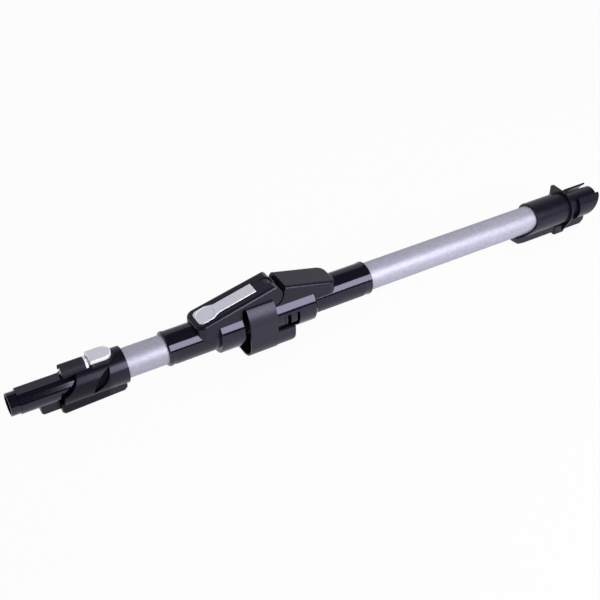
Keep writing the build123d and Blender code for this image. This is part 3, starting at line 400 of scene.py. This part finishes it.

# %% [markdown]
# ## Silver plastic
# The button and the pad are silver paint on plastic. The paint holds small flakes, which make
# the colour sparkle slightly, under a thin clear coat. The bevelled rims get a near-white
# colour, a painted highlight where they face the softbox, and the skins mark them with an
# attribute of their faces, "rim". The third output of an Attribute node is its plain number.

# %% Silver plastic
paint_dark = (0.58, 0.59, 0.665)
paint_light = (0.73, 0.74, 0.815)
# The near-white rim colour is a painted highlight of the softbox.
rim_painted_highlight = (0.97, 0.97, 0.98)
shader, place = new_finish(
    "silver_plastic", Metallic=0.2, Coat_Weight=0.3, Coat_Roughness=0.12
)
flakes = grain(place, size_mm=0.16, detail=1)
tone = grain(place, size_mm=14)
rim = place.node("ShaderNodeAttribute", {"attribute_name": "rim"}, output=2)
paint = mixed(flakes * 0.5 + tone * 0.5, paint_dark, paint_light)
plug(
    shader,
    Base_Color=mixed(rim, paint, rim_painted_highlight),
    Roughness=0.30 + flakes * 0.10,
    Normal=bump(flakes, depth_mm=0.0012),
)

# %% [markdown]
# ## Small metal and bearing finishes
# Pins, springs and the latch are dark oxide steel with fine lines, the contacts are plated
# brass, and the bush in the eye is a pale bearing plastic. All of them are small or hidden, so
# one noise each is enough.

# %% Small finishes
shader, place = new_finish("pin_steel", Metallic=1.0)
drawn = grain(place, size_mm=0.2, stretch=(1, 30, 1))
plug(
    shader,
    Base_Color=mixed(drawn, (0.10, 0.10, 0.11), (0.17, 0.17, 0.18)),
    Roughness=0.22 + drawn * 0.14,
    Normal=bump(drawn, depth_mm=0.003),
)

shader, place = new_finish("contact_metal", Metallic=1.0)
rolled = grain(place, size_mm=0.25, stretch=(20, 1, 1))
plug(
    shader,
    Base_Color=mixed(rolled, (0.66, 0.50, 0.24), (0.82, 0.64, 0.34)),
    Roughness=0.24 + rolled * 0.12,
)

shader, place = new_finish("bush_plastic")
speck = grain(place, size_mm=0.6)
plug(
    shader,
    Base_Color=mixed(speck, (0.74, 0.74, 0.70), (0.84, 0.84, 0.81)),
    Roughness=0.38 + speck * 0.10,
)

# %% [markdown]
# ## Skins
# A CAD node is a heap of loose triangles, which a render shows as small flat facets. A copy of
# it, with its points merged and its flat areas joined, can be shaded smooth. Edges that turn
# by more than a set angle stay sharp in the shading.

# %% Smooth pieces
sharp_deg = 32.0


def sharp_edges(mesh, angle_deg):
    """The edges at which two faces meet at more than an angle."""
    limit = math.radians(angle_deg)
    return [e for e in mesh.edges if e.is_manifold and e.calc_face_angle(0) > limit]


def piece_from(mesh, name, angle_deg=sharp_deg):
    """An object of a finished mesh, shaded smooth but for its sharp edges."""
    for face in mesh.faces:
        face.smooth = True
    for edge in sharp_edges(mesh, angle_deg):
        edge.smooth = False
    data = bpy.data.meshes.new(name)
    mesh.to_mesh(data)
    mesh.free()
    made = bpy.data.objects.new(name, data)
    scene.collection.objects.link(made)
    return made


print("edges stay sharp above", sharp_deg, "degrees")

# %% [markdown]
# The sharp edges get a small bevel, as every moulding has. On the silver parts, the faces that
# slope away from the flat top are marked as rims, which the paint colours near-white as a painted highlight.

# %% Making a skin
slot_of = {s["node"]: s["material_slot"] for s in frame["record"]["subparts"]}
merge_distance = 2e-6
flat_deg = 0.05
flat_face_weight = 80
rim_slopes = (-0.2, 0.98)


def mark_rims(mesh):
    """Marks the faces that slope away from the largest upward face."""
    mesh.normal_update()
    layer = mesh.faces.layers.float.new("rim")
    upward = [face for face in mesh.faces if face.normal.z > 0.5]
    top = max(upward, key=lambda face: face.calc_area()).normal.copy()
    for face in mesh.faces:
        face[layer] = 1.0 if rim_slopes[0] < face.normal.dot(top) < rim_slopes[1] else 0.0


def skin(node, bevel_mm):
    """A smooth copy of a CAD node with softened edges, which takes the node's place."""
    mesh = bmesh.new()
    mesh.from_mesh(nodes[node].data)
    bmesh.ops.remove_doubles(mesh, verts=mesh.verts, dist=merge_distance)
    bmesh.ops.dissolve_limit(
        mesh, angle_limit=math.radians(flat_deg), verts=mesh.verts, edges=mesh.edges
    )
    bmesh.ops.bevel(
        mesh,
        geom=sharp_edges(mesh, sharp_deg),
        offset=bevel_mm / 1000.0,
        offset_type="OFFSET",
        affect="EDGES",
        segments=2,
        profile=0.5,
        material=-1,
        clamp_overlap=True,
    )
    if slot_of[node] == "silver_plastic":
        mark_rims(mesh)
    made = piece_from(mesh, node + "_skin")
    weigh = made.modifiers.new("even shading", "WEIGHTED_NORMAL")
    weigh.keep_sharp = True
    weigh.weight = flat_face_weight
    return made


print("slots:", sorted(set(slot_of.values())))

# %% [markdown]
# A skin stands for its node: it takes the node's finish and slot, and rides on its body. The
# two springs are held by two bodies each, so they shorten when the pad or the button is
# pressed. A blend does that, from the spring's seat to the piece that it pushes.

# %% Bodies and springs
body_of = {n: b for b, ns in frame["record"]["behaviour"]["bodies"].items() for n in ns}
along_x, along_z = 0, 2
spring_pushes = {
    "release_spring": ("release_lever", along_z),
    "latch_spring": ("fold_latch", along_x),
}


def seat_spring(piece, node):
    """Lets a spring shorten between its seat in the hand half and the piece that it pushes."""
    pushed, along = spring_pushes[node]
    low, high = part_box(node)
    start = (Vector(low) + Vector(high)) / 2
    end = start.copy()
    start[along], end[along] = low[along], high[along]
    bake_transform(piece, "hand_half", pushed, start=tuple(start), end=tuple(end))


def dress(piece, node):
    """Gives a piece the finish, body and slot of the node that it stands for."""
    piece.data.materials.append(finishes[slot_of[node]])
    if "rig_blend" not in piece:
        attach(piece, body_of[node])
    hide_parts(node)


print("bodies:", sorted(set(body_of.values())))

# %% [markdown]
# Large mouldings have rounder edges than small ones, so the bevels differ. The hose is left
# out here, because it gets a finer surface of its own below.

# %% All skins
small_bevel_mm = 0.15
bevels_mm = {
    "hand_collar": 0.4,
    "release_lever": 0.25,
    "upper_hinge_cover": 0.3,
    "lower_hinge_cover": 0.3,
    "hinge_shroud": 0.5,
    "floor_connector": 0.4,
    "hand_spigot": 0.3,
    "upper_hinge_body": 0.25,
    "lower_hinge_body": 0.25,
    "fold_button": 0.3,
}
for name in sorted(nodes):
    if name == "bellows_hose":
        continue
    piece = skin(name, bevels_mm.get(name, small_bevel_mm))
    if name in spring_pushes:
        seat_spring(piece, name)
    dress(piece, name)
    print("skin:", name, len(piece.data.polygons), "faces")

# %% [markdown]
# ## Grip ribs
# The lower flanks of both sleeves carry fine ribs that run round them, grained matte so that a
# hand holds them well. One rib is a small trapezium, turned about the wand's axis from near the
# bottom to just above the middle. A loop repeats it along the sleeve, on both flanks. The foot
# of a rib lies a little inside the sleeve, so that no gap shows.

# %% One set of ribs
sleeve_r = 0.0197
rib_pitch = 0.0024
rib_width = 0.0013
rib_flank = 0.0003
rib_crest = sleeve_r + 0.0004
rib_root = sleeve_r - 0.0002
rib_from, rib_to = math.radians(-72), math.radians(19)
rib_steps = 16


def grip_ribs(name, start_x, end_x):
    """Ribs round both flanks of a sleeve between two stations."""
    mesh = bmesh.new()
    for flank in (-1, 1):
        for index in range(int((end_x - start_x) / rib_pitch)):
            x = start_x + index * rib_pitch
            outline = [
                (x, rib_root),
                (x + rib_flank, rib_crest),
                (x + rib_width - rib_flank, rib_crest),
                (x + rib_width, rib_root),
            ]
            corners = [
                mesh.verts.new((px, flank * r * math.cos(rib_from), r * math.sin(rib_from)))
                for px, r in outline
            ]
            loop = [mesh.edges.new(pair) for pair in zip(corners, corners[1:] + corners[:1])]
            bmesh.ops.spin(
                mesh,
                geom=corners + loop,
                cent=(0, 0, 0),
                axis=(1, 0, 0),
                angle=flank * (rib_to - rib_from),
                steps=rib_steps,
            )
    bmesh.ops.holes_fill(mesh, edges=mesh.edges, sides=4)
    bmesh.ops.recalc_face_normals(mesh, faces=mesh.faces)
    return piece_from(mesh, name)


print("rib pitch:", rib_pitch)

# %% [markdown]
# Each set starts a little way in from its sleeve's outer end and runs towards the hinge. A set
# is an added texture that stands for no node, so it only rides on the body of its sleeve.

# %% Grip ribs
rib_margin = 0.008
upper_reach = 0.058
lower_reach = 0.074
upper_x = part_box("upper_hinge_body")[0].x
lower_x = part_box("lower_hinge_body")[1].x
rib_sets = {
    "upper_hinge_body": grip_ribs("upper_grip_ribs", upper_x + rib_margin, upper_x + upper_reach),
    "lower_hinge_body": grip_ribs("lower_grip_ribs", lower_x - lower_reach, lower_x - rib_margin),
}
for node, ribs in rib_sets.items():
    ribs.data.materials.append(finishes["matte_black"])
    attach(ribs, body_of[node])
    print("ribs:", ribs.name, len(ribs.data.polygons), "faces")

# %% [markdown]
# ## Bellows hose
# The hose that carries the air across the fold is a soft corrugated tube. Its section is a line
# of points, spun about the wand's axis. It is held by the two barrels, so it bends between
# the hand half and the floor half as the wand folds.

# %% Section of the hose
hose_lo, hose_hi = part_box("bellows_hose")
hose_crest = hose_hi.z
hose_root = 0.0142
cuff = 0.0092
cuff_lip = 0.001
fold_count = 13
points_per_fold = 10
fold_fullness = 0.8
fold_from, fold_to = hose_lo.x + cuff, hose_hi.x - cuff

steps = fold_count * points_per_fold
section = [(hose_lo.x, hose_root), (fold_from - cuff_lip, hose_root)]
for step in range(steps + 1):
    share = step / steps
    swell = (0.5 - 0.5 * math.cos(share * fold_count * 2 * math.pi)) ** fold_fullness
    station = fold_from + share * (fold_to - fold_from)
    section.append((station, hose_root + swell * (hose_crest - hose_root)))
section += [(fold_to + cuff_lip, hose_root), (hose_hi.x, hose_root)]
print("hose section:", len(section), "points")

# %% [markdown]
# The spin goes all the way round and merges its seam. The wall gets its thickness last, after
# the normals point outwards.

# %% Bellows hose
hose_wall = 0.0008
hose_sides = 64
hose_sharp_deg = 60
seam_distance = 1e-6
hose_mesh = bmesh.new()
ring = [hose_mesh.verts.new((x, 0, r)) for x, r in section]
line = [hose_mesh.edges.new(pair) for pair in zip(ring, ring[1:])]
bmesh.ops.spin(
    hose_mesh,
    geom=ring + line,
    cent=(0, 0, 0),
    axis=(1, 0, 0),
    angle=2 * math.pi,
    steps=hose_sides,
    use_merge=True,
)
bmesh.ops.remove_doubles(hose_mesh, verts=hose_mesh.verts, dist=seam_distance)
bmesh.ops.recalc_face_normals(hose_mesh, faces=hose_mesh.faces)
bmesh.ops.solidify(hose_mesh, geom=hose_mesh.faces, thickness=hose_wall)
hose = piece_from(hose_mesh, "bellows_hose_skin", hose_sharp_deg)
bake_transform(hose, "hand_half", "floor_half", start=(fold_from, 0, 0), end=(fold_to, 0, 0))
dress(hose, "bellows_hose")
print("hose:", len(hose.data.polygons), "faces")

# %% [markdown]
# ## The studio
# The wand lies on a pale floor that is white in the picture and in reflections. The Light Path
# node tells those rays apart: for them the paper glows, and for all others it is plain grey
# paper that throws a little light back.

# %% Floor
floor_gap = 0.0004
floor_reach = 40.0
wand_middle_x = 0.4
white_in_picture = 0.96
white_in_mirrors = 0.85
floor_z = cad_box[0][2] - floor_gap
floor_mesh = bmesh.new()
bmesh.ops.create_grid(floor_mesh, x_segments=2, y_segments=2, size=floor_reach)
bmesh.ops.translate(floor_mesh, verts=floor_mesh.verts, vec=(wand_middle_x, 0, floor_z))
floor = piece_from(floor_mesh, "studio_floor")

shader, place = new_finish("floor_paper", Specular_IOR_Level=0.0)
paper = grain(place, size_mm=3)
plug(
    shader,
    Base_Color=mixed(paper, (0.50, 0.50, 0.50), (0.54, 0.54, 0.54)),
    Roughness=0.8 + paper * 0.1,
)
camera_ray = place.node("ShaderNodeLightPath", output="Is Camera Ray")
glossy_ray = place.node("ShaderNodeLightPath", output="Is Glossy Ray")
transmission_ray = place.node("ShaderNodeLightPath", output="Is Transmission Ray")
seen = camera_ray * white_in_picture + (glossy_ray + transmission_ray) * white_in_mirrors
glow = place.node("ShaderNodeEmission", Color=(1, 1, 1, 1), Strength=1.0)
overlay(shader, seen, glow)
floor.data.materials.append(finishes["floor_paper"])
print("floor at z", round(floor_z, 4))

# %% [markdown]
# The room above the floor is dim, so that black plastic stays black. Only its far wall is
# brighter, up to some height, and shows as a soft sheen on surfaces that face up.

# %% Room
room_glow = 0.06
wall_glow = 0.55
world = bpy.data.worlds.new("studio_room")
world.use_nodes = True
scene.world = world
room = world.node_tree
heading = Wire(room).node("ShaderNodeTexCoord", output="Generated")
far_side = axis(heading, 1).above(0.15, soft=0.25)
ceiling = axis(heading, 2).above(0.72, soft=0.08)
wall = far_side * (1 - ceiling)
backdrop = room.nodes["Background"]
backdrop.inputs["Color"].default_value = (0.97, 0.97, 1.0, 1)
plug(backdrop, Strength=room_glow + wall * wall_glow)
print("room ready")

# %% [markdown]
# A long softbox on the near side makes the stripe along the sleeves and tubes. A lamp overhead
# lights the tops and the floor, and is kept out of reflections.

# %% Lamps
lamp_colour = (0.98, 0.97, 1.0)


def softbox(name, centre, target, width, height, radiance, mirrored=True):
    """A rectangular lamp that faces a target. Its power follows from how bright it looks."""
    lamp = bpy.data.lights.new(name, "AREA")
    lamp.shape = "RECTANGLE"
    lamp.size = width
    lamp.size_y = height
    lamp.energy = radiance * math.pi * width * height
    lamp.color = lamp_colour
    stand = bpy.data.objects.new(name, lamp)
    scene.collection.objects.link(stand)
    back = (Vector(centre) - Vector(target)).normalized()
    right = Vector((1, 0, 0))
    stand.matrix_world = facing(centre, right, back.cross(right).normalized(), back)
    stand.visible_glossy = mirrored
    print("lamp:", name, round(lamp.energy, 1), "W")


softbox(
    "stripe_softbox",
    centre=(0.80, -1.01, 0.60),
    target=(0.80, 0, 0),
    width=1.06,
    height=0.78,
    radiance=7.4,
)
softbox(
    "overhead_lamp",
    centre=(0.4, 0.1, 1.7),
    target=(0.4, 0.1, 0),
    width=2.4,
    height=1.6,
    radiance=1.2,
    mirrored=False,
)
